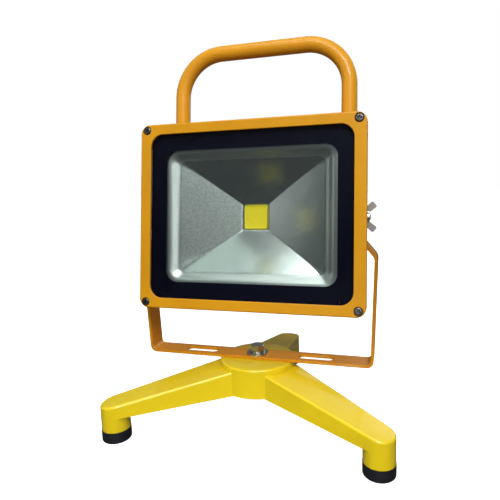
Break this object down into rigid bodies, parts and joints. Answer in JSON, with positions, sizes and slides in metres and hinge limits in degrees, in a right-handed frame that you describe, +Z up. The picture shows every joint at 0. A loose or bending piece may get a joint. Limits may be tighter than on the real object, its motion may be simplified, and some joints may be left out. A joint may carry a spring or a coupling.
{
  "type": "work light",
  "caption": "Square floodlight head with a carrying handle, tilting in a slotted steel yoke that turns on a three-legged cast base with rubber feet.",
  "frame": {"origin": "on the floor, at the middle of the object's footprint; the hub's axis is at y = -36 mm", "axes": "+Z up, the lamp faces -Y, +X to the right as seen from the front"},
  "size_m": [0.2774, 0.244, 0.3913],
  "materials": {
    "base_paint": "gloss",
    "foot_rubber": "matte",
    "yoke_paint": "gloss",
    "housing_paint": "satin",
    "clear_glass": "gloss",
    "border_print": "gloss",
    "silicone": "matte",
    "reflector_sheet": "satin",
    "board_aluminium": "satin",
    "phosphor": "satin",
    "thermal_pad": "matte",
    "lead_red": "satin",
    "lead_black": "satin",
    "driver_resin": "matte",
    "terminal_plastic": "matte",
    "gland_plastic": "satin",
    "zinc": "satin"
  },
  "bodies": {
    "base": {"base_casting": "base_paint", "foot_cap_left": "foot_rubber", "foot_cap_right": "foot_rubber", "foot_cap_rear": "foot_rubber", "base_bolt": "zinc", "base_lock_washer": "zinc", "base_flat_washer": "zinc", "base_nut": "zinc", "base_nut_washer": "zinc"},
    "yoke": {"yoke_bracket": "yoke_paint"},
    "lamp": {"housing": "housing_paint", "bezel_frame": "housing_paint", "bezel_screws": "zinc", "front_glass": "clear_glass", "glass_border": "border_print", "glass_gasket": "silicone", "reflector": "reflector_sheet", "reflector_screws": "zinc", "led_board": "board_aluminium", "led_emitter": "phosphor", "led_screws": "zinc", "thermal_pad": "thermal_pad", "lead_red": "lead_red", "lead_black": "lead_black", "driver": "driver_resin", "driver_screws": "zinc", "terminal_block": "terminal_plastic", "rear_cover": "housing_paint", "rear_cover_gasket": "silicone", "rear_cover_screws": "zinc", "gland_body": "gland_plastic", "gland_seal": "foot_rubber", "gland_cap_nut": "gland_plastic", "gland_lock_nut": "gland_plastic", "pivot_stud_left": "zinc", "pivot_stud_right": "zinc", "tooth_washer_left": "zinc", "tooth_washer_right": "zinc", "handle": "yoke_paint", "handle_screws": "zinc"},
    "washer_left": {"pivot_washer_left": "zinc"},
    "washer_right": {"pivot_washer_right": "zinc"},
    "nut_left": {"wing_nut_left": "zinc"},
    "nut_right": {"wing_nut_right": "zinc"}
  },
  "joints": [
    {"name": "pan", "type": "hinge", "parent": "base", "child": "yoke", "pos_m": [0, -0.036, 0.0665], "axis": [0, 0, 1], "continuous": true},
    {"name": "tilt", "type": "hinge", "parent": "yoke", "child": "lamp", "pos_m": [0, -0.036, 0.2087], "axis": [-1, 0, 0], "range_deg": [-17, 81.67]},
    {"name": "washer_travel_left", "type": "slide", "parent": "lamp", "child": "washer_left", "axis": [-1, 0, 0], "range_m": [0, 0.001]},
    {"name": "wing_nut_left", "type": "hinge", "parent": "washer_left", "child": "nut_left", "pos_m": [-0.105, -0.036, 0.2087], "axis": [-1, 0, 0], "range_deg": [0, 361]},
    {"name": "washer_travel_right", "type": "slide", "parent": "lamp", "child": "washer_right", "axis": [1, 0, 0], "range_m": [0, 0.001]},
    {"name": "wing_nut_right", "type": "hinge", "parent": "washer_right", "child": "nut_right", "pos_m": [0.105, -0.036, 0.2087], "axis": [1, 0, 0], "range_deg": [0, 361]}
  ],
  "couplings": [
    {"joint": "wing_nut_left", "follows": "washer_travel_left", "rad_per_m": 6283.2},
    {"joint": "wing_nut_right", "follows": "washer_travel_right", "rad_per_m": 6283.2}
  ]
}
